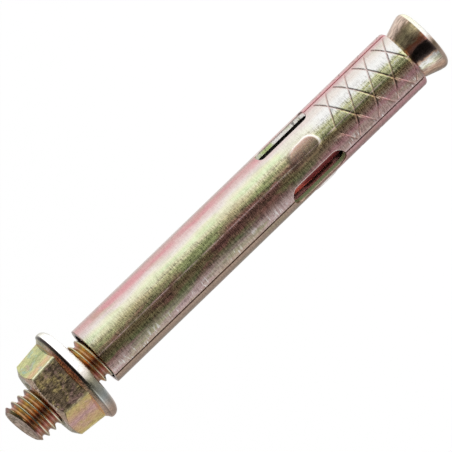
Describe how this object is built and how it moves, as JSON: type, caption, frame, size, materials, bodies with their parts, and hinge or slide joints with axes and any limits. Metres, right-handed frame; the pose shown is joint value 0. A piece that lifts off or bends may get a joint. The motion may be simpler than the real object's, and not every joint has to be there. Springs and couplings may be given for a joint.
{
  "type": "sleeve anchor",
  "caption": "Steel sleeve anchor for masonry: a stud with an expander cone, a slit rolled sleeve with windows, bosses and diamond grooves, and a hex flange nut.",
  "frame": {"origin": "centre of the flat face at the cone end, which the anchor stands on", "axes": "+Z along the stud, from the cone end towards the nut and the thread end; +X is a quarter turn from the side that the picture shows, which faces -Y"},
  "size_m": [0.0128, 0.0128, 0.065],
  "materials": {
    "bolt_zinc": "yellow chromate zinc plating with pink, green and brown interference colours",
    "sleeve_zinc": "yellow chromate zinc plating on rolled sheet, with fine scratches along it",
    "nut_zinc": "yellow chromate zinc plating on a forged nut, mottled green, orange and pink"
  },
  "bodies": {
    "bolt": {"cone_bolt": "bolt_zinc"},
    "sleeve": {"expansion_sleeve": "sleeve_zinc"},
    "nut": {"flange_nut": "nut_zinc"}
  },
  "joints": [
    {"name": "sleeve_slide", "type": "slide", "parent": "bolt", "child": "sleeve", "axis": [0, 0, 1], "range_m": [0, 0.00205]},
    {"name": "nut_turn", "type": "hinge", "parent": "bolt", "child": "nut", "pos_m": [0, 0, 0.0551], "axis": [0, 0, 1], "range_deg": [-741, 3564]}
  ]
}
